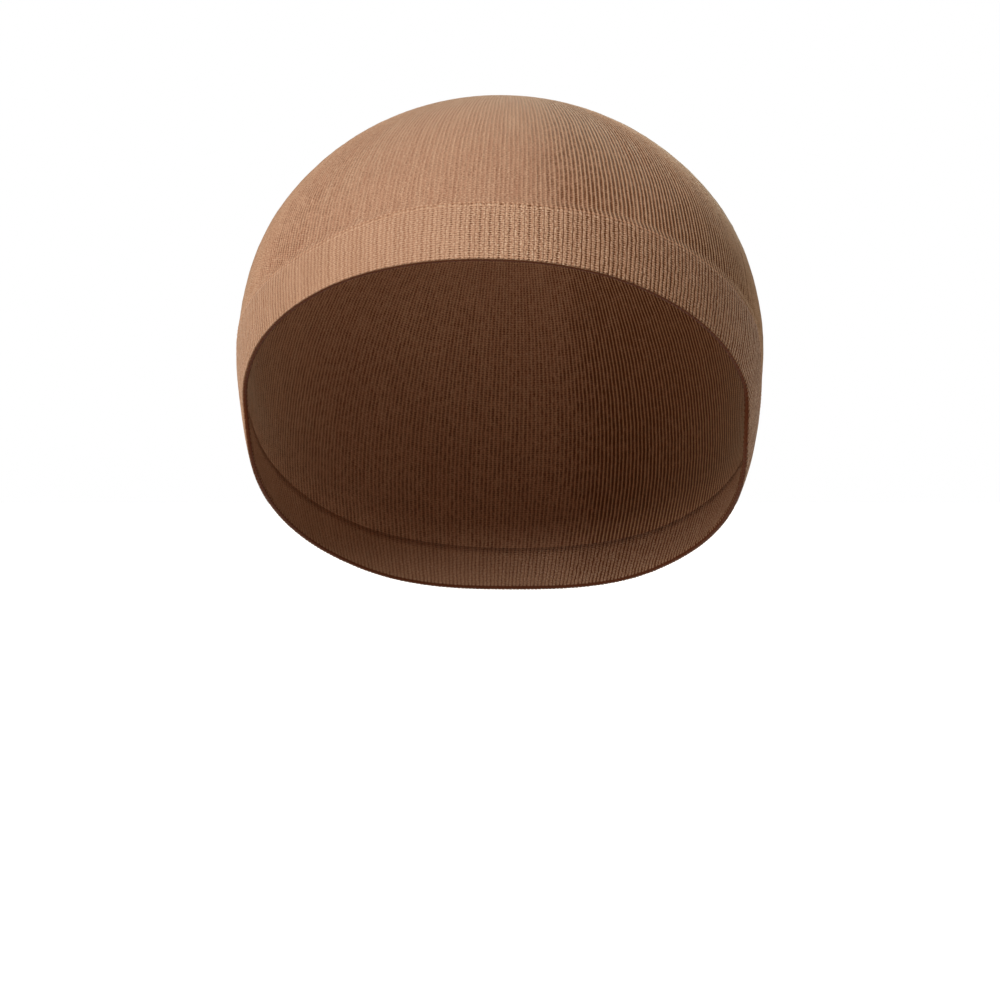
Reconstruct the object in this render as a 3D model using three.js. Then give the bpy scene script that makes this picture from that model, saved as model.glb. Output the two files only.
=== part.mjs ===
import * as THREE from 'three';
import { ParametricGeometry } from 'three/addons/geometries/ParametricGeometry.js';

// A seamless knitted wig cap in the form that it has when it is worn.
// Millimetres, +Z up, the forehead side faces -Y, and the origin is the inside of the crown at its top.

// The form that the knit is stretched to, measured on the inside of the cap.
const HALF_BREADTH = 79;
const FRONT_REACH = 87;
const BACK_REACH = 95;
const CROWN_HEIGHT = 79.5;

// The ribs of the knit run together at one closing point behind the top, in degrees.
const CLOSING_BEHIND_TOP = 24;

// The hem, in degrees from the closing point down the forehead and down the nape.
const HEM_AT_FOREHEAD = 95.5;
const HEM_AT_NAPE = 126;

// The single knit of the crown, and the doubled knit of the band, which is folded at the hem.
const CROWN_WALL = 0.8;
const BAND_WALL = 1.4;
const BAND_HEIGHT = 17.8;

// The raised course that joins the doubled band to the crown.
const LINKING_WIDTH = 0.9;
const LINKING_PROUD = 0.25;
const PIECE_GAP = 0.3;

// How finely the surfaces are divided.
const WALES = 84;
const CROWN_COURSES = 18;
const BAND_COURSES = 3;
const FOLD_STEPS = 4;
const LINKING_SIDES = 8;

// How full the form is against an ellipsoid, by level in degrees above its widest section.
const FORM = [
  { level: 90, front: 1, side: 1, back: 1 },
  { level: 70, front: 1.006, side: 1.003, back: 1.004 },
  { level: 50, front: 1.016, side: 1.01, back: 1.008 },
  { level: 30, front: 1.012, side: 1.017, back: 1.005 },
  { level: 10, front: 1.003, side: 1.007, back: 1 },
  { level: -10, front: 1, side: 1.002, back: 1 },
  { level: -25, front: 1.01, side: 1.033, back: 0.99 },
  { level: -45, front: 1.03, side: 1.085, back: 0.985 },
  { level: -65, front: 1.06, side: 1.15, back: 1.03 },
];

// The hem's fall on its way from the forehead to the nape, and the band's height, as shares.
// The turn is in degrees round the closing point, from the forehead. Left and right are as seen from
// the front: the cap was pulled on by hand, and its band is narrower over the left temple, at -X.
const HEM = [
  { turn: 0, fall: 0, left: 1, right: 1 },
  { turn: 15, fall: 0.003, left: 0.98, right: 1 },
  { turn: 30, fall: 0.024, left: 0.87, right: 1.02 },
  { turn: 45, fall: 0.076, left: 0.83, right: 1.04 },
  { turn: 60, fall: 0.152, left: 0.93, right: 1.07 },
  { turn: 70, fall: 0.222, left: 1.04, right: 1.1 },
  { turn: 75, fall: 0.265, left: 1.09, right: 1.13 },
  { turn: 79, fall: 0.335, left: 1.13, right: 1.16 },
  { turn: 83, fall: 0.455, left: 1.17, right: 1.19 },
  { turn: 88, fall: 0.565, left: 1.17, right: 1.19 },
  { turn: 95, fall: 0.645, left: 1.13, right: 1.14 },
  { turn: 105, fall: 0.72, left: 1.06, right: 1.06 },
  { turn: 125, fall: 0.83, left: 1.02, right: 1.02 },
  { turn: 150, fall: 0.94, left: 1, right: 1 },
  { turn: 180, fall: 1, left: 1, right: 1 },
];

const HALF_TURN = 180;
const CENTRE = new THREE.Vector3(0, 0, -CROWN_HEIGHT);
const RIGHT = new THREE.Vector3(1, 0, 0);
const BACK = new THREE.Vector3(0, 1, 0);
const UP = new THREE.Vector3(0, 0, 1);
const CLOSING = UP.clone().applyAxisAngle(RIGHT, -THREE.MathUtils.degToRad(CLOSING_BEHIND_TOP));
const FORWARD = new THREE.Vector3().crossVectors(CLOSING, RIGHT).negate();

// Reads a column of a table at a key, on a smooth curve through the rows that is level at both ends.
function lookUp(table, keyName, column, key) {
  const last = table.length - 1;
  const direction = Math.sign(table[last][keyName] - table[0][keyName]);
  let row = 0;
  while (row < last - 1 && direction * (key - table[row + 1][keyName]) > 0) {
    row += 1;
  }
  const slope = (index) => {
    if (index === 0 || index === last) {
      return 0;
    }
    const before = table[index - 1];
    const after = table[index + 1];
    return (after[column] - before[column]) / (after[keyName] - before[keyName]);
  };
  const start = table[row];
  const end = table[row + 1];
  const span = end[keyName] - start[keyName];
  const way = THREE.MathUtils.clamp((key - start[keyName]) / span, 0, 1);
  const leaving = way * (1 - way) ** 2 * slope(row);
  const arriving = (1 - way) * way ** 2 * slope(row + 1);
  const between = THREE.MathUtils.smoothstep(way, 0, 1);
  return THREE.MathUtils.lerp(start[column], end[column], between) + span * (leaving - arriving);
}

// How full the form is in a direction from its centre.
function fullness(direction) {
  const level = THREE.MathUtils.radToDeg(Math.asin(THREE.MathUtils.clamp(direction.z, -1, 1)));
  const flat = direction.x ** 2 + direction.y ** 2;
  const lengthways = flat > 0 ? direction.y ** 2 / flat : 0;
  const side = lookUp(FORM, 'level', 'side', level);
  const end = lookUp(FORM, 'level', direction.y < 0 ? 'front' : 'back', level);
  return THREE.MathUtils.lerp(side, end, lengthways);
}

// The half sizes of the ellipsoid at a place in front of its centre or behind it.
function halfSizes(place) {
  return new THREE.Vector3(HALF_BREADTH, place.y < 0 ? FRONT_REACH : BACK_REACH, CROWN_HEIGHT);
}

// The form's point so many degrees down from the closing point, at a turn round it.
function formPoint(down, turn) {
  const descent = THREE.MathUtils.degToRad(down);
  const around = THREE.MathUtils.degToRad(turn);
  const direction = new THREE.Vector3()
    .addScaledVector(CLOSING, Math.cos(descent))
    .addScaledVector(FORWARD, Math.sin(descent) * Math.cos(around))
    .addScaledVector(RIGHT, Math.sin(descent) * Math.sin(around));
  const reach = fullness(direction);
  return direction.multiply(halfSizes(direction)).multiplyScalar(reach).add(CENTRE);
}

// The form's outward direction at a point of it, from how its size changes along each axis.
function outwardAt(point) {
  const step = 0.05;
  const sizeAt = (axis, distance) => {
    const place = point.clone().addScaledVector(axis, distance).sub(CENTRE);
    place.divide(halfSizes(place));
    return place.length() / fullness(place.normalize());
  };
  const slopes = [RIGHT, BACK, UP].map((axis) => sizeAt(axis, step) - sizeAt(axis, -step));
  return new THREE.Vector3(...slopes).normalize();
}

function hemDown(turn) {
  const fall = lookUp(HEM, 'turn', 'fall', Math.abs(turn));
  return THREE.MathUtils.lerp(HEM_AT_FOREHEAD, HEM_AT_NAPE, fall);
}

// A place at a share of the band's height, and so many millimetres above that. The length of a
// trial step up from the hem, in degrees, gives the scale.
function aboveHem(share, lift) {
  return (turn) => {
    const hem = hemDown(turn);
    const trial = 10;
    const measured = formPoint(hem, turn).distanceTo(formPoint(hem - trial, turn));
    const bandHeight = BAND_HEIGHT * lookUp(HEM, 'turn', turn < 0 ? 'left' : 'right', Math.abs(turn));
    return hem - ((share * bandHeight + lift) * trial) / measured;
  };
}

const crownEdge = aboveHem(1, PIECE_GAP + LINKING_WIDTH + PIECE_GAP);

// Carries a closed section all round the closing point. Each corner has its way down and its depth.
function sweepRound(section) {
  const corners = section.length;
  const geometry = new ParametricGeometry(
    (across, round, target) => {
      const corner = section[Math.round(across * corners) % corners];
      const turn = THREE.MathUtils.lerp(-HALF_TURN, HALF_TURN, round);
      const point = formPoint(corner.down(turn), turn);
      target.copy(point.addScaledVector(outwardAt(point), corner.out));
    },
    corners,
    WALES,
  );
  geometry.computeVertexNormals();
  return geometry;
}

// The crown: out from the closing point down to its edge, and back up along the inside.
function crownSection() {
  const section = [];
  for (let course = 0; course <= CROWN_COURSES; course += 1) {
    const share = course / CROWN_COURSES;
    section.push({ down: (turn) => share * crownEdge(turn), out: CROWN_WALL });
  }
  for (let course = CROWN_COURSES; course >= 0; course -= 1) {
    const share = course / CROWN_COURSES;
    section.push({ down: (turn) => share * crownEdge(turn), out: 0 });
  }
  return section;
}

// The band: down its outside, round the fold at the hem and up its inside.
function bandSection() {
  const foldRadius = BAND_WALL / 2;
  const section = [];
  for (let course = BAND_COURSES; course > 0; course -= 1) {
    section.push({ down: aboveHem(course / BAND_COURSES, 0), out: BAND_WALL });
  }
  for (let step = 0; step <= FOLD_STEPS; step += 1) {
    const round = (Math.PI * step) / FOLD_STEPS;
    const lift = foldRadius * (1 - Math.sin(round));
    section.push({ down: aboveHem(0, lift), out: foldRadius * (1 + Math.cos(round)) });
  }
  for (let course = 1; course <= BAND_COURSES; course += 1) {
    section.push({ down: aboveHem(course / BAND_COURSES, 0), out: 0 });
  }
  return section;
}

// The linking course: an oval bead as thick as the band and a little proud of it.
function linkingSection() {
  const halfThickness = (BAND_WALL + LINKING_PROUD) / 2;
  const halfWidth = LINKING_WIDTH / 2;
  const section = [];
  for (let side = 0; side < LINKING_SIDES; side += 1) {
    const round = (2 * Math.PI * side) / LINKING_SIDES;
    const lift = PIECE_GAP + halfWidth * (1 - Math.sin(round));
    section.push({ down: aboveHem(1, lift), out: halfThickness * (1 + Math.cos(round)) });
  }
  return section;
}

function knit(name, section, color, roughness) {
  const material = new THREE.MeshStandardMaterial({ color, roughness, metalness: 0 });
  const mesh = new THREE.Mesh(sweepRound(section), material);
  mesh.name = name;
  return mesh;
}

const cap = new THREE.Group();
cap.name = 'wig_cap';
cap.add(knit('crown', crownSection(), 0xaf856c, 0.85));
cap.add(knit('linking_course', linkingSection(), 0xcda587, 0.75));
cap.add(knit('band', bandSection(), 0xb98f75, 0.8));

export default cap;
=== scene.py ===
"""Knits a worn stocking wig cap in three pieces and sets it in a plain pale studio.

Metres, +Z up, the forehead side faces -Y, and the origin is the inside of the crown at its top.
"""

import math

import bpy
import numpy as np
from bpy.props import FloatProperty, FloatVectorProperty, IntProperty, PointerProperty
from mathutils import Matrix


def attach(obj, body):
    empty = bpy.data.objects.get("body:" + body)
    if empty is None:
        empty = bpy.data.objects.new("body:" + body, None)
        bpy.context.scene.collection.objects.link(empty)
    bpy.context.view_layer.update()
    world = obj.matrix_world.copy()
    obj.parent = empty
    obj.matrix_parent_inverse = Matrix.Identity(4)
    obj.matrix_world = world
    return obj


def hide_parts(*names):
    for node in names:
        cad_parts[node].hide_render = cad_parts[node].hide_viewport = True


bl_info = {
    "name": "Wig cap",
    "version": (1, 0, 0),
    "blender": (4, 5, 0),
    "location": "3D View > Sidebar > Wig cap",
    "description": "Knits a stocking wig cap in its worn form and sets it in a studio",
    "category": "Add Mesh",
}

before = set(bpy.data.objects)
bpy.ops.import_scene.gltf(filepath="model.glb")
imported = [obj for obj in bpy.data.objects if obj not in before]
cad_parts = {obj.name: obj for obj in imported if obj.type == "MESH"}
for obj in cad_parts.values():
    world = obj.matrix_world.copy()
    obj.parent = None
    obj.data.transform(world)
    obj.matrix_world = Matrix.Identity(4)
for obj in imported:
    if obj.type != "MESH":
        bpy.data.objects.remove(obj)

MILLIMETRE = 0.001
FULL_TURN = 2 * math.pi

# How full the worn form is against an ellipsoid, by level in degrees above its widest section.
LEVELS = (90, 70, 50, 30, 10, -10, -25, -45, -65)
FRONT_FULLNESS = (1, 1.006, 1.016, 1.012, 1.003, 1, 1.01, 1.03, 1.06)
SIDE_FULLNESS = (1, 1.003, 1.01, 1.017, 1.007, 1.002, 1.033, 1.085, 1.15)
BACK_FULLNESS = (1, 1.004, 1.008, 1.005, 1, 1, 0.99, 0.985, 1.03)

# The hem's fall from the forehead to the nape, and the band's height, as shares, by the turn in
# degrees round the closing point from the forehead. Left and right are as seen from the front.
TURNS = (0, 15, 30, 45, 60, 70, 75, 79, 83, 88, 95, 105, 125, 150, 180)
HEM_FALL = (
    0, 0.003, 0.024, 0.076, 0.152, 0.222, 0.265, 0.335, 0.455, 0.565, 0.645, 0.72, 0.83, 0.94, 1,
)
BAND_LEFT = (1, 0.98, 0.87, 0.83, 0.93, 1.04, 1.09, 1.13, 1.17, 1.17, 1.13, 1.06, 1.02, 1, 1)
BAND_RIGHT = (1, 1, 1.02, 1.04, 1.07, 1.1, 1.13, 1.16, 1.19, 1.19, 1.14, 1.06, 1.02, 1, 1)

# The mesh has four columns to a wale. A crown wale is one narrow ridge between soft valleys.
COLUMNS_TO_WALE = 4
CROWN_PLACES = np.array((0.0, 0.25, 0.5, 0.75))
CROWN_PROFILE = np.array((-1.0, -0.25, 1.0, -0.25))
# The band's wales are flat. They lie in pairs, between a column of small holes and a fine groove.
BAND_PLACES = np.array((0.0, 0.13, 0.5, 0.87))
BAND_PROFILE = np.array((-1.0, 0.45, 0.5, 0.45, -0.5, 0.45, 0.5, 0.45))

# Heights of the yarn's finest relief, in millimetres, which the materials give.
CROWN_BUMP = 0.16
BAND_BUMP = 0.12
LINKING_BUMP = 0.1
# Where in the depth of their noise the flecks, knots and patches are read, to keep them apart.
FLECK_DEPTH = 7.0
KNOT_DEPTH = 11.0
PATCH_DEPTH = 3.0


def curve_through(keys, values, key):
    """A value on the smooth curve through a table, which is level at both ends."""
    keys = np.asarray(keys, float)
    values = np.asarray(values, float)
    direction = np.sign(keys[-1] - keys[0])
    row = np.searchsorted(direction * keys, direction * key) - 1
    row = np.clip(row, 0, len(keys) - 2)
    slopes = np.zeros(len(keys))
    slopes[1:-1] = (values[2:] - values[:-2]) / (keys[2:] - keys[:-2])
    span = keys[row + 1] - keys[row]
    way = np.clip((key - keys[row]) / span, 0, 1)
    between = way * way * (3 - 2 * way)
    leaving = way * (1 - way) ** 2 * slopes[row]
    arriving = (1 - way) * way**2 * slopes[row + 1]
    step = values[row + 1] - values[row]
    return values[row] + step * between + span * (leaving - arriving)


def ease(start, end, value):
    """Rises smoothly from 0 at start to 1 at end."""
    way = np.clip((value - start) / (end - start), 0, 1)
    return way * way * (3 - 2 * way)


class WornForm:
    """The form that the knit is stretched to, on its inside, and the lines that cross it."""

    def __init__(self, sizes):
        self.sizes = sizes
        tilt = sizes.closing_behind_top
        self.closing = np.array((0.0, math.sin(tilt), math.cos(tilt)))
        self.forward = np.array((0.0, -math.cos(tilt), math.sin(tilt)))
        self.right = np.array((1.0, 0.0, 0.0))
        self.centre = np.array((0.0, 0.0, -sizes.crown_height))

    def half_sizes(self, places):
        sizes = self.sizes
        lengthways = np.where(places[:, 1] < 0, sizes.front_reach, sizes.back_reach)
        breadth = np.full(len(places), sizes.half_breadth)
        height = np.full(len(places), sizes.crown_height)
        return np.stack((breadth, lengthways, height), axis=1)

    def fullness(self, directions):
        level = np.degrees(np.arcsin(np.clip(directions[:, 2], -1, 1)))
        flat = directions[:, 0] ** 2 + directions[:, 1] ** 2
        lengthways = directions[:, 1] ** 2 / np.maximum(flat, 1e-12)
        side = curve_through(LEVELS, SIDE_FULLNESS, level)
        front = curve_through(LEVELS, FRONT_FULLNESS, level)
        back = curve_through(LEVELS, BACK_FULLNESS, level)
        end = np.where(directions[:, 1] < 0, front, back)
        return side + (end - side) * lengthways

    def points(self, down, turn):
        """Points so far down from the closing point, at a turn round it, both in radians."""
        directions = (
            np.cos(down)[:, None] * self.closing
            + (np.sin(down) * np.cos(turn))[:, None] * self.forward
            + (np.sin(down) * np.sin(turn))[:, None] * self.right
        )
        reach = self.fullness(directions)[:, None]
        return directions * self.half_sizes(directions) * reach + self.centre

    def outward(self, points):
        """The form's outward directions, from how its size changes along each axis."""
        step = 0.05 * MILLIMETRE
        slopes = np.empty_like(points)
        for axis in range(3):
            size = []
            for way in (step, -step):
                moved = points - self.centre
                moved[:, axis] += way
                scaled = moved / self.half_sizes(moved)
                length = np.linalg.norm(scaled, axis=1)
                size.append(length / self.fullness(scaled / length[:, None]))
            slopes[:, axis] = size[0] - size[1]
        return slopes / np.linalg.norm(slopes, axis=1)[:, None]

    def hem(self, turn):
        fall = curve_through(TURNS, HEM_FALL, np.abs(np.degrees(turn)))
        start = self.sizes.hem_at_forehead
        return start + (self.sizes.hem_at_nape - start) * fall

    def above_hem(self, turn, share, lift):
        """A way down that is a share of the band's height above the hem, and a lift above that."""
        hem = self.hem(turn)
        trial = math.radians(10)
        between = self.points(hem, turn) - self.points(hem - trial, turn)
        measured = np.linalg.norm(between, axis=1)
        degrees = np.degrees(turn)
        left = curve_through(TURNS, BAND_LEFT, np.abs(degrees))
        right = curve_through(TURNS, BAND_RIGHT, np.abs(degrees))
        height = self.sizes.band_height * np.where(degrees < 0, left, right)
        return hem - (share * height + lift) * trial / measured


def wrapped(turn):
    """A turn brought between minus a half turn and a half turn."""
    return (turn + math.pi) % FULL_TURN - math.pi


def drift(wale, course, seed, size):
    """How far the wales stray sideways, in wales: slow waves that close round the cap."""
    random = np.random.default_rng(seed)
    angle = wale * FULL_TURN / bpy.context.scene.wig_cap_knit.wales
    stray = np.zeros_like(angle)
    waves = 14
    for _ in range(waves):
        around = random.integers(3, 34)
        along = random.uniform(0.004, 0.03)
        phase = random.uniform(0, FULL_TURN)
        stray += np.sin(around * angle + FULL_TURN * along * course + phase)
    return stray * size / math.sqrt(waves / 2)


def own_wobble(wale, course, seed, size):
    """Each wale's own small wobble, in wales, blended from one wale to the next."""
    count = bpy.context.scene.wig_cap_knit.wales
    random = np.random.default_rng(seed)
    pace = random.uniform(0.025, 0.06, count)
    phase = random.uniform(0, FULL_TURN, count)
    before = np.floor(wale).astype(int)
    share = wale - before
    wobble = []
    for index in (before % count, (before + 1) % count):
        wobble.append(np.sin(FULL_TURN * pace[index] * course + phase[index]))
    return size * (wobble[0] * (1 - share) + wobble[1] * share)


def of_each_wale(column, seed, spread):
    """One random factor near 1 for each wale, which its columns share."""
    count = bpy.context.scene.wig_cap_knit.wales
    factors = 1 + np.random.default_rng(seed).uniform(-spread, spread, count)
    return factors[(column // COLUMNS_TO_WALE) % count]


def lay_sheet(columns, rows):
    """A flat sheet of knit, with the column and row of each of its points.

    The columns run to the right from the nape all round to the nape. The rows run down.
    """
    bpy.ops.object.select_all(action="DESELECT")
    bpy.ops.mesh.primitive_grid_add(
        x_subdivisions=columns, y_subdivisions=rows, size=2, calc_uvs=True
    )
    sheet = bpy.context.object
    places = np.empty(len(sheet.data.vertices) * 3)
    sheet.data.vertices.foreach_get("co", places)
    places = places.reshape(-1, 3)
    column = np.rint((places[:, 0] + 1) / 2 * columns).astype(int)
    row = np.rint((1 - places[:, 1]) / 2 * rows).astype(int)
    return sheet, column, row


def wale_of(column, places):
    """The place of each column, in wales from the nape."""
    return column // COLUMNS_TO_WALE + places[column % COLUMNS_TO_WALE]


def deeper_at_sides(turn, least):
    """The knit is stretched flattest over the forehead, so its relief is least there."""
    return least + (1 - least) * ease(math.radians(12), math.radians(60), np.abs(turn))


def lay_knit_map(sheet, wales, places, course_of_row):
    """Keeps the sheet's own map for baking, and adds one in wales and courses."""
    layers = sheet.data.uv_layers
    layers[0].name = "OFBake"
    flat = np.empty(len(sheet.data.loops) * 2)
    layers[0].data.foreach_get("uv", flat)
    flat = flat.reshape(-1, 2)
    rows = len(course_of_row) - 1
    course = np.interp((1 - flat[:, 1]) * rows, np.arange(rows + 1), course_of_row)
    column = np.rint(flat[:, 0] * wales * COLUMNS_TO_WALE).astype(int)
    knit_map = layers.new(name="knit")
    knit_map.data.foreach_set("uv", np.stack((wale_of(column, places), course), axis=1).ravel())
    layers.active = layers["knit"]
    layers["knit"].active_render = True


def join_edges(sheet, points):
    """Draws the sheet to its place and joins the edges that meet there."""
    sheet.data.vertices.foreach_set("co", points.ravel())
    sheet.data.update()
    bpy.ops.object.mode_set(mode="EDIT")
    bpy.ops.mesh.select_mode(type="VERT")
    bpy.ops.mesh.select_all(action="DESELECT")
    bpy.ops.mesh.select_non_manifold(use_wire=False, use_multi_face=False, use_non_contiguous=False)
    bpy.ops.mesh.remove_doubles(threshold=0.001 * MILLIMETRE)
    bpy.ops.object.mode_set(mode="OBJECT")


def finish_piece(piece, name, node, material):
    """Names a finished piece, gives it its knit and ties it to the frame."""
    piece.name = name
    piece.data.name = name
    piece.data.materials.clear()
    piece.data.materials.append(material)
    bpy.ops.object.shade_smooth()
    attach(piece, "root")
    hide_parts(node)


class NodeBoard:
    """Adds nodes to a material and links them, so that a pattern reads as a sum."""

    def __init__(self, name):
        self.material = bpy.data.materials.new(name)
        self.material.use_nodes = True
        self.tree = self.material.node_tree
        self.shader = self.tree.nodes["Principled BSDF"]

    def put(self, value, socket):
        if isinstance(value, bpy.types.NodeSocket):
            self.tree.links.new(value, socket)
        else:
            socket.default_value = value

    def math(self, operation, first, second=0.0, clamp=False):
        node = self.tree.nodes.new("ShaderNodeMath")
        node.operation = operation
        node.use_clamp = clamp
        self.put(first, node.inputs[0])
        if operation not in ("COSINE", "SINE", "FRACT", "ABSOLUTE"):
            self.put(second, node.inputs[1])
        return node.outputs[0]

    def times(self, *values):
        """The product of the values."""
        product = values[0]
        for value in values[1:]:
            product = self.math("MULTIPLY", product, value)
        return product

    def total(self, *values, clamp=False):
        """The sum of the values, held between 0 and 1 where it is clamped."""
        so_far = values[0]
        for value in values[1:-1]:
            so_far = self.math("ADD", so_far, value)
        return self.math("ADD", so_far, values[-1], clamp)

    def wave(self, value, length):
        """1 at each whole number of lengths and 0 halfway between."""
        cosine = self.math("COSINE", self.math("MULTIPLY", value, FULL_TURN / length))
        return self.math("ADD", self.math("MULTIPLY", cosine, 0.5), 0.5)

    def ramp(self, value, start, end, low=0.0, high=1.0):
        node = self.tree.nodes.new("ShaderNodeMapRange")
        node.interpolation_type = "SMOOTHSTEP"
        self.put(value, node.inputs["Value"])
        node.inputs["From Min"].default_value = start
        node.inputs["From Max"].default_value = end
        node.inputs["To Min"].default_value = low
        node.inputs["To Max"].default_value = high
        return node.outputs["Result"]

    def mix(self, share, first, second):
        node = self.tree.nodes.new("ShaderNodeMix")
        node.data_type = "RGBA"
        self.put(share, node.inputs[0])
        self.put(first, node.inputs[6])
        self.put(second, node.inputs[7])
        return node.outputs[2]

    def knit_places(self):
        """The wale and the course of the place, from the knit map."""
        source = self.tree.nodes.new("ShaderNodeUVMap")
        source.uv_map = "knit"
        parts = self.tree.nodes.new("ShaderNodeSeparateXYZ")
        self.tree.links.new(source.outputs[0], parts.inputs[0])
        return parts.outputs[0], parts.outputs[1]

    def place(self, across, along, depth=0.0):
        node = self.tree.nodes.new("ShaderNodeCombineXYZ")
        self.put(across, node.inputs[0])
        self.put(along, node.inputs[1])
        node.inputs[2].default_value = depth
        return node.outputs[0]

    def noise(self, where, scale, detail=2.0):
        node = self.tree.nodes.new("ShaderNodeTexNoise")
        self.put(where, node.inputs["Vector"])
        node.inputs["Scale"].default_value = scale
        node.inputs["Detail"].default_value = detail
        return node.outputs["Fac"]

    def object_place(self):
        return self.tree.nodes.new("ShaderNodeTexCoord").outputs["Object"]

    def bump(self, height, distance):
        node = self.tree.nodes.new("ShaderNodeBump")
        node.inputs["Strength"].default_value = 1.0
        node.inputs["Distance"].default_value = distance
        self.put(height, node.inputs["Height"])
        self.tree.links.new(node.outputs[0], self.shader.inputs["Normal"])


def side_share(board, wale, wales):
    """How much painted shade and painted highlight the knit takes, by its turn round the cap.

    It is 0 over the forehead, 0.3 on the -X side and at the back, and 1 on the +X side,
    which is turned away from the key light, where the light grazes the ribs.
    """
    angle = board.math("MULTIPLY", wale, FULL_TURN / wales)
    both_sides = 0.3
    both = board.ramp(board.math("COSINE", angle), -0.97, -0.5, 0.0, both_sides)
    drawn = board.ramp(board.math("SINE", angle), -0.12, -0.46, 0.0, 1 - both_sides)
    return board.math("ADD", both, drawn)


def band_side_share(board, wale, wales):
    """How much of the band's painted hole shade and painted highlights shows: 0.25 on the -X side,
    rising to full on the +X side.
    """
    angle = board.math("MULTIPLY", wale, FULL_TURN / wales)
    least_share = 0.25
    return board.ramp(board.math("SINE", angle), 0.3, -0.22, least_share, 1.0)


def knit_finish(board, colours, roughness, gloss, bloom):
    """The constant part of a nylon knit: matt, with a pale bloom at grazing angles."""
    shader = board.shader
    shader.inputs["Roughness"].default_value = roughness
    shader.inputs["Specular IOR Level"].default_value = gloss
    shader.inputs["Sheen Weight"].default_value = bloom
    shader.inputs["Sheen Roughness"].default_value = colours.bloom_width
    shader.inputs["Sheen Tint"].default_value = (*colours.bloom_colour, 1)


def yarn_pattern(board, wale, course):
    """The fine yarn of a stitch: two legs that lean to the middle of the wale."""
    leg_lean = 1.3
    side = board.math("ABSOLUTE", board.math("SUBTRACT", board.math("FRACT", wale), 0.5))
    leaning = board.math("ADD", course, board.math("MULTIPLY", side, leg_lean))
    return board.wave(leaning, 1.0)


def uneven(board, wale, course):
    """Streaks along the wales, and flecks where a stitch catches the light."""
    streak_pull = 0.035
    streaks = board.noise(board.place(wale, board.math("MULTIPLY", course, streak_pull)), 0.9, 3.0)
    flecks = board.noise(board.place(wale, course, FLECK_DEPTH), 2.0, 1.0)
    return streaks, flecks


def knots_along(board, wale, course):
    """A slow change along each wale, by which its valleys deepen and fade."""
    knot_pull = 0.35
    where = board.place(wale, board.math("MULTIPLY", course, knot_pull), KNOT_DEPTH)
    return board.noise(where, 0.8, 1.0)


def streaked(board, streaks, plain, light):
    """The yarn's tone, which changes from one wale to the next."""
    return board.mix(board.ramp(streaks, 0.3, 0.7), (*plain, 1), (*light, 1))


def crown_knit(colours, wales):
    """The single knit of the crown, with one smooth rib to a wale."""
    board = NodeBoard("crown_knit")
    wale, course = board.knit_places()
    rungs = board.wave(course, 1.0)
    beads = board.total(board.times(rungs, 0.45), 0.55)
    below_closing = board.ramp(course, 8.0, 40.0)
    knots = board.ramp(knots_along(board, wale, course), 0.3, 0.7, 0.6, 1.4)
    valley_width = board.ramp(board.wave(wale, 1.0), 0.1, 0.68)
    valley = board.times(valley_width, beads, below_closing, knots)
    stitches = yarn_pattern(board, wale, course)
    streaks, flecks = uneven(board, wale, course)

    # Tone: random streaks and warm clouds. Painted highlights: flecks, and the rib tops, most on
    # the +X side, away from the key light, where light grazes the ribs.
    tone = streaked(board, streaks, colours.crown_yarn, colours.crown_light)
    clouds = board.noise(board.object_place(), 28.0, 2.0)
    tone = board.mix(board.ramp(clouds, 0.3, 0.7, 0.0, 0.35), tone, (*colours.crown_warm, 1))
    tone = board.mix(board.ramp(flecks, 0.55, 0.72, 0.0, 0.5), tone, (*colours.glint, 1))
    down_the_dome = board.ramp(course, 40.0, 120.0, 0.4, 1.0)
    shading_share = board.times(side_share(board, wale, wales), down_the_dome)
    ridge_width = board.ramp(board.wave(board.total(wale, 0.5), 1.0), 0.55, 0.95)
    ridge = board.times(ridge_width, shading_share, 0.3)
    tone = board.mix(ridge, tone, (*colours.crown_ridge_highlight, 1))

    # Painted shade: the valleys, most on the +X side, away from the key light, and least over the
    # forehead; the rungs between courses; and random dark specks.
    forehead_shade = 0.52
    shade_side_darkening = 3.6
    rung_shade = 0.16
    sides = board.total(board.times(shading_share, shade_side_darkening), forehead_shade)
    valley_shade = board.times(valley, sides, colours.valley_depth)
    specks = board.ramp(flecks, 0.5, 0.3, 0.0, 0.4)
    shade = board.total(valley_shade, board.times(rungs, rung_shade), specks, clamp=True)
    tone = board.mix(shade, tone, (*colours.valley, 1))
    board.put(tone, board.shader.inputs["Base Color"])

    height = board.total(
        board.times(valley, -0.4), board.times(stitches, 0.3), board.times(flecks, 0.5)
    )
    board.bump(height, CROWN_BUMP * MILLIMETRE)
    knit_finish(board, colours, colours.crown_roughness, colours.crown_gloss, colours.crown_bloom)
    return board.material


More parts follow.
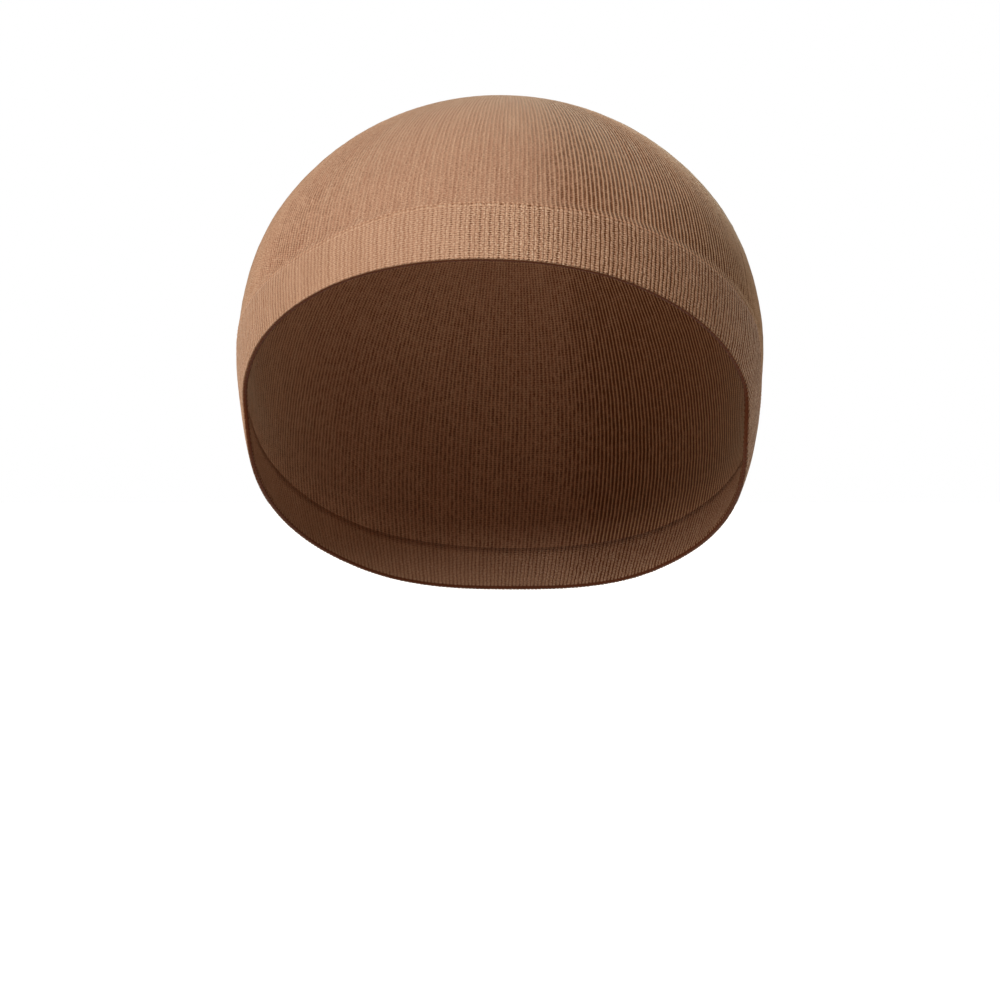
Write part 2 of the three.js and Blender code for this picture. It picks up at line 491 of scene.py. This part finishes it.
def band_knit(colours, wales, courses):
    """The doubled knit: flat paired wales, between a column of small holes and a fine groove."""
    board = NodeBoard("band_knit")
    wale, course = board.knit_places()
    shading_share = side_share(board, wale, wales)
    plus_x_share = band_side_share(board, wale, wales)
    minus_x_share = board.math("SUBTRACT", 1.0, plus_x_share)
    stitches = yarn_pattern(board, wale, course)
    streaks, flecks = uneven(board, wale, course)

    # A groove lies on every second wale line, with a lip on each side of it. The groove takes
    # painted shade and the lips painted highlights.
    at_groove = board.wave(board.total(wale, 1.0), 2.0)
    groove = board.math("POWER", at_groove, 26.0)
    lips = board.math("SUBTRACT", board.math("POWER", at_groove, 6.0), groove)

    # The holes lie on the lines between the grooves, one to a course, along a fine slit.
    at_hole = board.wave(wale, 2.0)
    rungs = board.wave(course, 1.0)
    round_holes = board.times(
        board.math("POWER", rungs, 1.5), board.math("POWER", at_hole, 7.0)
    )
    slit = board.times(board.math("POWER", at_hole, 26.0), 0.3)
    patches = board.noise(board.place(wale, course, PATCH_DEPTH), 0.16, 2.0)
    hole_strength = board.times(board.ramp(patches, 0.35, 0.6, 0.5, 1.0), plus_x_share)
    holes = board.times(board.total(round_holes, slit), hole_strength)
    between_holes = board.math("POWER", board.math("SUBTRACT", 1.0, rungs), 2.0)
    beads = board.times(between_holes, board.math("POWER", at_hole, 3.0))

    # Tone: random streaks. Painted highlights: the lips and beads, fine lines on the -X side, and
    # flecks.
    tone = streaked(board, streaks, colours.band_yarn, colours.band_light)
    bright = board.total(board.times(lips, 0.6), board.times(beads, 0.4))
    bright = board.times(bright, board.total(plus_x_share, 0.1))
    lines = board.math("POWER", board.wave(board.total(wale, 0.5), 1.0), 3.0)
    bright = board.total(bright, board.times(lines, minus_x_share, 0.25))
    tone = board.mix(bright, tone, (*colours.glint, 1))
    speckle = board.total(board.times(plus_x_share, 0.55), 0.3)
    speckle = board.times(speckle, board.ramp(flecks, 0.54, 0.66))
    tone = board.mix(speckle, tone, (*colours.glint, 1))

    # Painted shade: the holes and grooves, the rungs, the valleys and a general darkening on the +X
    # side, away from the key light, a little darkening on the -X side, and random dark specks.
    rung_shade = 0.22
    shade_side_darkening = 0.15
    close_shade = 0.16
    valley_shade = 0.6
    groove_share = board.total(board.times(shading_share, 0.5), board.times(plus_x_share, 0.4))
    knots = board.ramp(knots_along(board, wale, course), 0.35, 0.65, 0.15, 1.0)
    valley_width = board.ramp(board.wave(wale, 1.0), 0.35, 0.9)
    specks = board.times(board.total(plus_x_share, 0.3), 0.5, board.ramp(flecks, 0.46, 0.3))
    shade = board.total(
        board.times(holes, colours.hole_depth),
        board.times(groove, groove_share),
        board.times(rungs, rung_shade),
        board.times(valley_width, shading_share, knots, valley_shade),
        board.times(shading_share, shade_side_darkening),
        board.times(minus_x_share, close_shade),
        specks,
        clamp=True,
    )
    tone = board.mix(shade, tone, (*colours.valley, 1))

    # A painted shadow along the fold begins just under the last course of the outside.
    fold = board.ramp(course, courses + 0.4, courses + 0.75)
    fold = board.times(fold, board.ramp(course, courses + 2.4, courses + 3.0, 1.0, 0.0))
    tone = board.mix(fold, tone, (*colours.fold_shadow, 1))
    board.put(tone, board.shader.inputs["Base Color"])

    height = board.total(
        board.times(shade, -0.5), board.times(lips, 0.5),
        board.times(stitches, 0.4), board.times(flecks, 0.7),
    )
    board.bump(height, BAND_BUMP * MILLIMETRE)
    knit_finish(board, colours, colours.band_roughness, colours.band_gloss, colours.band_bloom)
    return board.material


def linking_knit(colours):
    """The raised course of loops between the crown and the band."""
    board = NodeBoard("linking_knit")
    wale, course = board.knit_places()
    _, flecks = uneven(board, wale, course)
    loops = board.wave(board.total(wale, 0.5), 1.0)
    glints = board.times(board.math("POWER", loops, 2.0), board.ramp(flecks, 0.4, 0.6), 0.5)
    tone = board.mix(glints, (*colours.linking_yarn, 1), (*colours.glint, 1))
    shade = board.times(board.math("POWER", board.wave(wale, 1.0), 3.0), 0.12)
    tone = board.mix(shade, tone, (*colours.valley, 1))
    board.put(tone, board.shader.inputs["Base Color"])
    height = board.total(loops, board.times(flecks, 0.6))
    board.bump(height, LINKING_BUMP * MILLIMETRE)
    knit_finish(board, colours, colours.band_roughness, colours.band_gloss, colours.band_bloom)
    return board.material


class WIGCAP_PG_form(bpy.types.PropertyGroup):
    """The sizes of the worn form."""

    half_breadth: FloatProperty(
        name="Half breadth", description="From the middle to the side, inside",
        default=0.079, unit="LENGTH",
    )
    front_reach: FloatProperty(
        name="Front reach", description="From the middle to the forehead, inside",
        default=0.087, unit="LENGTH",
    )
    back_reach: FloatProperty(
        name="Back reach", description="From the middle to the back, inside",
        default=0.095, unit="LENGTH",
    )
    crown_height: FloatProperty(
        name="Crown height", description="From the widest section to the top, inside",
        default=0.0795, unit="LENGTH",
    )
    closing_behind_top: FloatProperty(
        name="Closing behind top", description="Where the ribs run together, behind the top",
        default=math.radians(24), unit="ROTATION",
    )
    hem_at_forehead: FloatProperty(
        name="Hem at forehead", description="From the closing point down to the forehead's hem",
        default=math.radians(95.5), unit="ROTATION",
    )
    hem_at_nape: FloatProperty(
        name="Hem at nape", description="From the closing point down to the nape's hem",
        default=math.radians(126), unit="ROTATION",
    )
    band_height: FloatProperty(
        name="Band height", description="From the hem up to the linking course",
        default=0.0178, unit="LENGTH",
    )
    crown_wall: FloatProperty(
        name="Crown wall", description="Thickness of the single knit",
        default=0.0008, unit="LENGTH", precision=5,
    )
    band_wall: FloatProperty(
        name="Band wall", description="Thickness of the doubled knit",
        default=0.0014, unit="LENGTH", precision=5,
    )


class WIGCAP_PG_knit(bpy.types.PropertyGroup):
    """The sizes of the knit."""

    wales: IntProperty(
        name="Wales", description="Ribs round the cap, an even number",
        default=360, min=120, max=360, step=2,
    )
    crown_courses: IntProperty(
        name="Crown courses", description="Rows of stitches from the closing point to the band",
        default=210, min=100, max=400,
    )
    band_courses: IntProperty(
        name="Band courses", description="Rows of stitches on the band's outside",
        default=25, min=20, max=25,
    )
    rib_depth: FloatProperty(
        name="Rib depth", description="From a crown rib's ridge to its valley",
        default=0.00052, unit="LENGTH", precision=5,
    )
    band_depth: FloatProperty(
        name="Band depth", description="From a band rib's ridge to its deep valley",
        default=0.0004, unit="LENGTH", precision=5,
    )
    linking_lift: FloatProperty(
        name="Linking lift", description="From the band's top edge to the linking course's middle",
        default=0.00075, unit="LENGTH", precision=5,
    )
    linking_half_width: FloatProperty(
        name="Linking half width", description="Half the height of the raised course",
        default=0.0004, unit="LENGTH", precision=5,
    )
    linking_proud: FloatProperty(
        name="Linking proud", description="How far the raised course stands out of the band",
        default=0.00007, unit="LENGTH", precision=5,
    )


class WIGCAP_PG_colours(bpy.types.PropertyGroup):
    """The colours and the finish of the yarn."""

    crown_yarn: FloatVectorProperty(
        name="Crown yarn", description="The crown's pinkish brown yarn",
        subtype="COLOR", default=(0.475, 0.251, 0.153), min=0, max=1,
    )
    crown_light: FloatVectorProperty(
        name="Crown light streaks", description="The lighter wales of the crown",
        subtype="COLOR", default=(0.55, 0.318, 0.2), min=0, max=1,
    )
    crown_warm: FloatVectorProperty(
        name="Crown warm clouds", description="Where the crown's knit is stretched thin",
        subtype="COLOR", default=(0.42, 0.213, 0.132), min=0, max=1,
    )
    # Painted highlight on the crown's rib tops, most on the +X side, away from the key light.
    crown_ridge_highlight: FloatVectorProperty(
        name="Crown ridges", description="The tops of the crown's ribs where its knit is opened",
        subtype="COLOR", default=(0.8, 0.5, 0.27), min=0, max=1,
    )
    band_yarn: FloatVectorProperty(
        name="Band yarn", description="The doubled band's yellower tan",
        subtype="COLOR", default=(0.49, 0.256, 0.15), min=0, max=1,
    )
    band_light: FloatVectorProperty(
        name="Band light streaks", description="The lighter wales of the band",
        subtype="COLOR", default=(0.575, 0.32, 0.195), min=0, max=1,
    )
    linking_yarn: FloatVectorProperty(
        name="Linking yarn", description="The raised course",
        subtype="COLOR", default=(0.48, 0.256, 0.152), min=0, max=1,
    )
    glint: FloatVectorProperty(
        name="Glint", description="Stitches that catch the light",
        subtype="COLOR", default=(0.84, 0.61, 0.42), min=0, max=1,
    )
    # Painted shade: the colour laid into the valleys, holes, grooves and rungs, and between the
    # linking loops.
    valley: FloatVectorProperty(
        name="Valley", description="The dark between the ribs",
        subtype="COLOR", default=(0.13, 0.042, 0.012), min=0, max=1,
    )
    # Painted shadow: a dark line along the fold at the hem.
    fold_shadow: FloatVectorProperty(
        name="Fold line", description="The dark line of the fold at the hem",
        subtype="COLOR", default=(0.09, 0.02, 0.003), min=0, max=1,
    )
    bloom_colour: FloatVectorProperty(
        name="Bloom colour", description="The pale bloom of the knit at grazing angles",
        subtype="COLOR", default=(0.8, 0.76, 0.6), min=0, max=1,
    )
    valley_depth: FloatProperty(
        name="Valley shade", description="How much of the valley colour shows between the ribs",
        default=0.37, min=0, max=1, subtype="FACTOR",
    )
    hole_depth: FloatProperty(
        name="Hole shade", description="How much of the valley colour shows in the band's holes",
        default=1.0, min=0, max=1, subtype="FACTOR",
    )
    crown_roughness: FloatProperty(
        name="Crown roughness", description="How matt the single knit is",
        default=0.62, min=0, max=1, subtype="FACTOR",
    )
    crown_gloss: FloatProperty(
        name="Crown gloss", description="How much the single knit shines",
        default=0.12, min=0, max=1, subtype="FACTOR",
    )
    band_roughness: FloatProperty(
        name="Band roughness", description="How matt the doubled knit is",
        default=0.55, min=0, max=1, subtype="FACTOR",
    )
    band_gloss: FloatProperty(
        name="Band gloss", description="How much the doubled knit shines",
        default=0.15, min=0, max=1, subtype="FACTOR",
    )
    crown_bloom: FloatProperty(
        name="Crown bloom", description="How strong the single knit's bloom is",
        default=0.6, min=0, max=1, subtype="FACTOR",
    )
    band_bloom: FloatProperty(
        name="Band bloom", description="How strong the doubled knit's bloom is",
        default=0.06, min=0, max=1, subtype="FACTOR",
    )
    bloom_width: FloatProperty(
        name="Bloom width", description="How far the bloom reaches in from the outline",
        default=0.35, min=0, max=1, subtype="FACTOR",
    )


class WIGCAP_PG_studio(bpy.types.PropertyGroup):
    """The floor, the lights and the camera."""

    floor_level: FloatProperty(
        name="Floor level", description="Height of the floor",
        default=-0.37, unit="LENGTH",
    )
    floor_reach: FloatProperty(
        name="Floor reach", description="How far the floor runs",
        default=300.0, unit="LENGTH",
    )
    floor_colour: FloatVectorProperty(
        name="Floor colour", description="The pale floor",
        subtype="COLOR", default=(0.93, 0.93, 0.93), min=0, max=1,
    )
    backdrop_colour: FloatVectorProperty(
        name="Backdrop colour", description="What is seen behind the cap",
        subtype="COLOR", default=(1.0, 1.0, 1.0), min=0, max=1,
    )
    key_turn: FloatProperty(
        name="Key turn", description="The key light's turn from the front to the viewer's left",
        default=math.radians(37), unit="ROTATION",
    )
    key_rise: FloatProperty(
        name="Key rise", description="The key light's height over the horizon",
        default=math.radians(38), unit="ROTATION",
    )
    key_strength: FloatProperty(
        name="Key strength", description="Strength of the key light", default=3.0, min=0,
    )
    key_softness: FloatProperty(
        name="Key softness", description="How wide the key light seems",
        default=math.radians(36), unit="ROTATION",
    )
    back_glow: FloatProperty(
        name="Back glow", description="Light that comes from the bright backdrop",
        default=1.15, min=0,
    )
    back_colour: FloatVectorProperty(
        name="Back colour", description="The tint of the light from the backdrop",
        subtype="COLOR", default=(1.0, 0.95, 0.82), min=0, max=1,
    )
    fill_above: FloatProperty(
        name="Fill above", description="Light that comes from above the horizon",
        default=0.21, min=0,
    )
    fill_below: FloatProperty(
        name="Fill below", description="Light that comes back from the floor",
        default=0.95, min=0,
    )
    fill_colour: FloatVectorProperty(
        name="Fill colour", description="The warm tint of the fill",
        subtype="COLOR", default=(1.0, 0.86, 0.72), min=0, max=1,
    )
    floor_glow: FloatProperty(
        name="Floor glow", description="How far the floor is lit by lamps of its own",
        default=0.36, min=0,
    )
    camera_distance: FloatProperty(
        name="Camera distance", description="From the camera to the middle of the cap",
        default=1.4, unit="LENGTH",
    )
    camera_turn: FloatProperty(
        name="Camera turn", description="The camera's turn round the cap",
        default=math.radians(4.2), unit="ROTATION",
    )
    camera_level: FloatProperty(
        name="Camera level", description="Height of the camera",
        default=-0.1227, unit="LENGTH",
    )
    camera_aside: FloatProperty(
        name="Camera aside", description="How far the camera stands left of the cap's middle",
        default=0.000245, unit="LENGTH", precision=6,
    )
    lens: FloatProperty(
        name="Lens", description="Focal length in millimetres", default=164.7, min=1,
    )


# The crown's rows lie close together at the closing point, evenly down the dome and close again
# at the edge. They roll in under it and run back up the inside. Lifts are in millimetres.
CLOSING_ROWS = 10
CLOSING_SHARE = 0.1
CLOSING_CROWDING = 1.6
DOME_ROWS = 28
DOME_LIFT = 10.0
EDGE_LIFTS = (6.6, 5.4, 4.3, 3.4, 2.6, 1.9, 1.2, 0.6, 0.0)
ROLL_ROWS = 2
ROLL_LIFT = -0.25
INSIDE_ROWS = 15
# How far above its edge the crown begins to thicken to the band, and its ribs to flatten and lean.
THICKENING_LIFT = 3.2
FLATTENING_LIFT = 1.9
LEANING_LIFT = 2.2
# How deep a crown valley may be, which keeps the wall from crossing itself.
DEEPEST_VALLEY = 0.45
# The way from the closing point to the edge, against the height of the crown.
CROWN_WAY = 1.8

# The band's rows below those of its outside: round the fold, and up the inside.
FOLD_STEPS = 7
BAND_INSIDE_ROWS = 7

# The linking course's section, and how each wale's loop swells and slants over its columns.
LINKING_ROWS = 12
LOOP_SWELLING = np.array((-1.0, 0.3, 1.0, 0.3))
LOOP_SLANT = np.array((0.0, 1.0, 0.0, -1.0))


class WIGCAP_OT_crown(bpy.types.Operator):
    """Knits the crown: a ribbed dome of single knit whose ribs run together behind the top"""

    bl_idname = "wig_cap.crown"
    bl_label = "Knit the crown"

    def execute(self, context):
        scene = context.scene
        knit = scene.wig_cap_knit
        form = WornForm(scene.wig_cap_form)
        columns = knit.wales * COLUMNS_TO_WALE
        share, lift, out, course, relief = self.rows(scene)
        rows = len(share) - 1
        piece, column, row = lay_sheet(columns, rows)
        wale = wale_of(column, CROWN_PLACES)
        along = course[row]
        lean = self.lean(column / columns * FULL_TURN - math.pi, lift[row])
        stray = drift(wale, along, seed=4, size=0.06)
        stray += own_wobble(wale, along, seed=5, size=0.06)
        settled = ease(0, 6 * MILLIMETRE, lift[row]) * ease(0.02, 0.15, share[row])
        turn = wrapped((wale + lean + stray * settled) / knit.wales * FULL_TURN - math.pi)
        down = share[row] * form.above_hem(turn, 1, knit.linking_lift + lift[row])
        points = form.points(down, turn)
        outward = form.outward(points)
        ribs = CROWN_PROFILE[column % COLUMNS_TO_WALE] * of_each_wale(column, seed=6, spread=0.22)
        ribs = ribs * knit.rib_depth / np.ptp(CROWN_PROFILE) * relief[row] * np.sin(down)
        ribs *= deeper_at_sides(turn, least=0.22)
        knots = np.random.default_rng(13).uniform(0.75, 1.25, (rows + 1, knit.wales))
        ribs *= knots[row, column // COLUMNS_TO_WALE % knit.wales]
        ribs = np.maximum(ribs, -DEEPEST_VALLEY * MILLIMETRE)
        away = np.linalg.norm(points - form.points(np.zeros(1), np.zeros(1)), axis=1)
        points += outward * (out[row] + ribs + self.gathers(away, turn))[:, None]
        lay_knit_map(piece, knit.wales, CROWN_PLACES, course)
        join_edges(piece, points)
        finish_piece(
            piece, "knitted_crown", "crown",
            crown_knit(scene.wig_cap_colours, knit.wales),
        )
        return {"FINISHED"}

    def rows(self, scene):
        """Share of the way down, lift over the edge, depth, course and relief of each row."""
        wall = scene.wig_cap_form.crown_wall
        band_wall = scene.wig_cap_form.band_wall
        courses = scene.wig_cap_knit.crown_courses
        course_height = scene.wig_cap_form.crown_height * CROWN_WAY / courses
        crowding = (np.arange(CLOSING_ROWS + 1) / CLOSING_ROWS) ** CLOSING_CROWDING
        dome = np.linspace(CLOSING_SHARE, 1, DOME_ROWS + 1)[1:-1]
        edge = np.array(EDGE_LIFTS)
        inside = np.linspace(1, 0, INSIDE_ROWS + 1)
        share = np.concatenate(
            (CLOSING_SHARE * crowding, dome, np.ones(len(edge) + ROLL_ROWS), inside)
        )
        lift = np.full(len(share), DOME_LIFT)
        below_dome = len(crowding) + len(dome)
        first_inside = len(share) - len(inside)
        lift[below_dome : below_dome + len(edge)] = edge
        lift[first_inside - ROLL_ROWS : first_inside] = ROLL_LIFT
        lift[first_inside:] = 0
        lift = lift * MILLIMETRE
        out = wall + (band_wall - wall) * (1 - ease(0, THICKENING_LIFT * MILLIMETRE, lift))
        out[first_inside - 2] = wall
        out[first_inside - 1] = 0.15 * wall
        out[first_inside:] = 0
        course = share * (courses - lift / course_height)
        edge_relief = 0.3
        roll_relief = 0.2
        inside_relief = 0.12
        full = ease(0, FLATTENING_LIFT * MILLIMETRE, lift)
        relief = edge_relief + (1 - edge_relief) * full
        relief[first_inside - 2 : first_inside] = roll_relief
        relief[first_inside:] = inside_relief
        return share, lift, out, course, relief

    def lean(self, turn, lift):
        """The ribs lean outwards where the tight band draws them in, in wales."""
        most = 0.3
        way = np.clip(lift / (LEANING_LIFT * MILLIMETRE), 0, 1)
        side = np.tanh(turn / math.radians(22)) * np.cos(turn / 2) ** 2
        return -most * side * (1 - (1 - way) ** 2)

    def gathers(self, away, turn):
        """Small puckers round the closing point, and a dimple where the knit is drawn in."""
        pucker_height = 0.16
        pucker_count = 30
        dimple_depth = 0.55
        outer = away / MILLIMETRE
        ring = np.exp(-(((outer - 6.5) / 4.5) ** 2)) * ease(0, 3, outer)
        puckers = pucker_height * ring * np.cos(pucker_count * turn)
        dimple = -dimple_depth * np.exp(-((outer / 2.2) ** 2))
        return (puckers + dimple) * MILLIMETRE


class WIGCAP_OT_band(bpy.types.Operator):
    """Knits the band: doubled knit with paired wales and small holes, folded at the hem"""

    bl_idname = "wig_cap.band"
    bl_label = "Knit the band"

    def execute(self, context):
        scene = context.scene
        knit = scene.wig_cap_knit
        form = WornForm(scene.wig_cap_form)
        columns = knit.wales * COLUMNS_TO_WALE
        share, lift, out, course, relief = self.rows(scene)
        rows = len(share) - 1
        piece, column, row = lay_sheet(columns, rows)
        wale = wale_of(column, BAND_PLACES)
        # The last row lies on the first, which closes the band's section.
        along = course[row % rows]
        stray = drift(wale, along, seed=8, size=0.05)
        stray += own_wobble(wale, along * 3, seed=9, size=0.06)
        stray *= ease(0, 5, along) * ease(0, 5, course[-1] - along)
        turn = wrapped((wale + stray) / knit.wales * FULL_TURN - math.pi)
        down = form.above_hem(turn, share[row], lift[row])
        points = form.points(down, turn)
        outward = form.outward(points)
        profile = BAND_PROFILE[column % len(BAND_PROFILE)]
        profile = profile * of_each_wale(column, seed=10, spread=0.25)
        # Between the rows of holes the deep valley is half as deep and the ridges are raised.
        no_hole = (np.abs(along - np.rint(along)) >= 0.1).astype(float)
        deep = (column % len(BAND_PROFILE) == 0).astype(float)
        profile = profile * (1 - 0.5 * deep * no_hole) + 0.15 * no_hole * (1 - deep)
        ribs = profile * knit.band_depth / np.ptp(BAND_PROFILE) * relief[row]
        ribs *= deeper_at_sides(turn, least=0.3)
        points += outward * (out[row] + ribs)[:, None]
        lay_knit_map(piece, knit.wales, BAND_PLACES, course)
        join_edges(piece, points)
        finish_piece(
            piece, "knitted_band", "band",
            band_knit(scene.wig_cap_colours, knit.wales, knit.band_courses),
        )
        return {"FINISHED"}

    def rows(self, scene):
        """Share of the height, lift, depth, course and relief of each row, down the outside."""
        wall = scene.wig_cap_form.band_wall
        courses = scene.wig_cap_knit.band_courses
        top_lift = scene.wig_cap_knit.linking_lift
        outside = 2 * courses
        fold_radius = wall / 2
        stitch = scene.wig_cap_form.band_height / courses
        way = np.arange(outside) / outside
        # The first row lies halfway through the wall and the second on its outer edge.
        share = [1, *(1 - way)]
        lift = [top_lift, top_lift, *np.zeros(outside - 1)]
        out = [0.5 * wall, 0.97 * wall, *np.full(outside - 1, wall)]
        course = [-0.5, *(way * courses)]
        relief = [0.3, 0.5, *np.ones(outside - 1)]
        for step in range(FOLD_STEPS + 1):
            angle = math.pi * step / FOLD_STEPS
            share.append(0)
            lift.append(fold_radius * (1 - math.sin(angle)))
            out.append(fold_radius * (1 + math.cos(angle)))
            course.append(courses + angle * fold_radius / stitch)
            relief.append(0.3 + 0.5 * abs(math.cos(angle)))
        fold_end = course[-1]
        for step in range(1, BAND_INSIDE_ROWS + 1):
            share.append(step / BAND_INSIDE_ROWS)
            lift.append(0)
            out.append(0)
            course.append(fold_end + courses * step / BAND_INSIDE_ROWS)
            relief.append(-0.3)
        lift[-1] = top_lift
        for values in (share, lift, out, relief):
            values.append(values[0])
        course.append(course[-1] + 1)
        return tuple(np.array(values, float) for values in (share, lift, out, course, relief))


class WIGCAP_OT_linking_course(bpy.types.Operator):
    """Knits the linking course: a fine raised chain of loops along the band's top edge"""

    bl_idname = "wig_cap.linking_course"
    bl_label = "Knit the linking course"

    def execute(self, context):
        scene = context.scene
        knit = scene.wig_cap_knit
        form = WornForm(scene.wig_cap_form)
        columns = knit.wales * COLUMNS_TO_WALE
        piece, column, row = lay_sheet(columns, LINKING_ROWS)
        wale = wale_of(column, BAND_PLACES)
        turn = wrapped(wale / knit.wales * FULL_TURN - math.pi)
        angle = math.pi / 2 - row / LINKING_ROWS * FULL_TURN
        loop = LOOP_SWELLING[column % COLUMNS_TO_WALE]
        slant = LOOP_SLANT[column % COLUMNS_TO_WALE]
        size = of_each_wale(column, seed=12, spread=0.2)
        half_width = knit.linking_half_width * (1 + 0.22 * loop * size)
        shift = 0.11 * MILLIMETRE * (slant + 0.8 * loop) * size
        lift = knit.linking_lift + shift + half_width * np.sin(angle)
        wall = scene.wig_cap_form.band_wall
        half_depth = (wall + knit.linking_proud) / 2
        out = half_depth * (1 + np.cos(angle)) + 0.1 * MILLIMETRE * loop * size * np.cos(angle)
        down = form.above_hem(turn, 1, lift)
        points = form.points(down, turn)
        points += form.outward(points) * out[:, None]
        lay_knit_map(piece, knit.wales, BAND_PLACES, np.linspace(0, 2, LINKING_ROWS + 1))
        join_edges(piece, points)
        finish_piece(
            piece, "knitted_linking_course", "linking_course",
            linking_knit(scene.wig_cap_colours),
        )
        return {"FINISHED"}


# The camera's sensor in millimetres, and how far it sees in metres, which takes in the floor.
SENSOR_WIDTH = 36
FARTHEST_SEEN = 1000
# The floor is a many-sided disc, and nearly matt.
FLOOR_SIDES = 64
FLOOR_ROUGHNESS = 0.9
FLOOR_GLOSS = 0.1
# Where the backdrop's glow starts and is full, by how far a direction points to the back.
GLOW_START = 0.2
GLOW_FULL = 0.8
# Between these the floor's light gives way to the sky's, by how far a direction points up.
FLOOR_LIGHT_END = -0.65
SKY_LIGHT_START = -0.15


class WIGCAP_OT_studio(bpy.types.Operator):
    """Sets up the pale floor, the soft light and the camera"""

    bl_idname = "wig_cap.studio"
    bl_label = "Set up the studio"

    def execute(self, context):
        studio = context.scene.wig_cap_studio
        self.add_floor(context, studio)
        self.add_key_light(context, studio)
        self.light_world(context, studio)
        self.add_camera(context, studio)
        context.scene.view_settings.view_transform = "Standard"
        return {"FINISHED"}

    def add_floor(self, context, studio):
        bpy.ops.object.select_all(action="DESELECT")
        bpy.ops.mesh.primitive_circle_add(
            vertices=FLOOR_SIDES, radius=studio.floor_reach, fill_type="NGON",
            location=(0, 0, studio.floor_level),
        )
        floor = context.object
        floor.name = "floor"
        bpy.ops.object.transform_apply(location=True)
        board = NodeBoard("pale_floor")
        board.shader.inputs["Base Color"].default_value = (*studio.floor_colour, 1)
        board.shader.inputs["Roughness"].default_value = FLOOR_ROUGHNESS
        board.shader.inputs["Specular IOR Level"].default_value = FLOOR_GLOSS
        board.shader.inputs["Emission Color"].default_value = (1, 1, 1, 1)
        board.shader.inputs["Emission Strength"].default_value = studio.floor_glow
        floor.data.materials.append(board.material)
        floor.visible_diffuse = False
        floor.visible_glossy = False

    def add_key_light(self, context, studio):
        bpy.ops.object.light_add(type="SUN", location=(-1.2, -1.2, 1.2))
        key = context.object
        key.name = "key_light"
        key.data.energy = studio.key_strength
        key.data.angle = studio.key_softness
        key.rotation_euler = (math.pi / 2 - studio.key_rise, 0, -studio.key_turn)

    def light_world(self, context, studio):
        """The world glows from behind like a bright backdrop, and the camera sees it plain."""
        world = bpy.data.worlds.new("studio")
        context.scene.world = world
        world.use_nodes = True
        nodes = world.node_tree.nodes
        links = world.node_tree.links
        nodes.clear()
        direction = nodes.new("ShaderNodeTexCoord")
        parts = nodes.new("ShaderNodeSeparateXYZ")
        glow = nodes.new("ShaderNodeMapRange")
        glow.interpolation_type = "SMOOTHSTEP"
        glow.inputs["From Min"].default_value = GLOW_START
        glow.inputs["From Max"].default_value = GLOW_FULL
        glow.inputs["To Max"].default_value = studio.back_glow
        fill = nodes.new("ShaderNodeMapRange")
        fill.inputs["From Min"].default_value = FLOOR_LIGHT_END
        fill.inputs["From Max"].default_value = SKY_LIGHT_START
        fill.inputs["To Min"].default_value = studio.fill_below
        fill.inputs["To Max"].default_value = studio.fill_above
        seen = nodes.new("ShaderNodeLightPath")
        back_light = nodes.new("ShaderNodeBackground")
        back_light.inputs["Color"].default_value = (*studio.back_colour, 1)
        fill_light = nodes.new("ShaderNodeBackground")
        fill_light.inputs["Color"].default_value = (*studio.fill_colour, 1)
        both = nodes.new("ShaderNodeAddShader")
        backdrop = nodes.new("ShaderNodeBackground")
        backdrop.inputs["Color"].default_value = (*studio.backdrop_colour, 1)
        chosen = nodes.new("ShaderNodeMixShader")
        output = nodes.new("ShaderNodeOutputWorld")
        links.new(direction.outputs["Generated"], parts.inputs[0])
        links.new(parts.outputs["Y"], glow.inputs["Value"])
        links.new(parts.outputs["Z"], fill.inputs["Value"])
        links.new(glow.outputs["Result"], back_light.inputs["Strength"])
        links.new(fill.outputs["Result"], fill_light.inputs["Strength"])
        links.new(back_light.outputs[0], both.inputs[0])
        links.new(fill_light.outputs[0], both.inputs[1])
        links.new(seen.outputs["Is Camera Ray"], chosen.inputs[0])
        links.new(both.outputs[0], chosen.inputs[1])
        links.new(backdrop.outputs[0], chosen.inputs[2])
        links.new(chosen.outputs[0], output.inputs["Surface"])

    def add_camera(self, context, studio):
        turn = studio.camera_turn
        along = studio.camera_distance
        aside = studio.camera_aside
        place = (
            math.sin(turn) * along - math.cos(turn) * aside,
            -math.cos(turn) * along - math.sin(turn) * aside,
            studio.camera_level,
        )
        bpy.ops.object.camera_add(location=place, rotation=(math.pi / 2, 0, turn))
        camera = context.object
        camera.data.sensor_width = SENSOR_WIDTH
        camera.data.lens = studio.lens
        camera.data.clip_end = FARTHEST_SEEN
        context.scene.camera = camera


class WIGCAP_PT_sidebar(bpy.types.Panel):
    """Lists the pieces of the cap and their sizes and colours"""

    bl_idname = "WIGCAP_PT_sidebar"
    bl_label = "Wig cap"
    bl_space_type = "VIEW_3D"
    bl_region_type = "UI"
    bl_category = "Wig cap"

    def draw(self, context):
        for operator in OPERATORS:
            self.layout.operator(operator.bl_idname)
        for group_name in GROUPS:
            group = getattr(context.scene, group_name)
            box = self.layout.box()
            for name in group.__annotations__:
                box.prop(group, name)


GROUPS = {
    "wig_cap_form": WIGCAP_PG_form,
    "wig_cap_knit": WIGCAP_PG_knit,
    "wig_cap_colours": WIGCAP_PG_colours,
    "wig_cap_studio": WIGCAP_PG_studio,
}
OPERATORS = (WIGCAP_OT_crown, WIGCAP_OT_linking_course, WIGCAP_OT_band, WIGCAP_OT_studio)
CLASSES = (*GROUPS.values(), *OPERATORS, WIGCAP_PT_sidebar)


def register():
    for each in CLASSES:
        bpy.utils.register_class(each)
    for name, group in GROUPS.items():
        setattr(bpy.types.Scene, name, PointerProperty(type=group))


def unregister():
    for name in GROUPS:
        delattr(bpy.types.Scene, name)
    for each in reversed(CLASSES):
        bpy.utils.unregister_class(each)


def main():
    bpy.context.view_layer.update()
    register()
    bpy.ops.wig_cap.crown()
    bpy.ops.wig_cap.linking_course()
    bpy.ops.wig_cap.band()
    bpy.ops.wig_cap.studio()


if __name__ == "__main__":
    main()
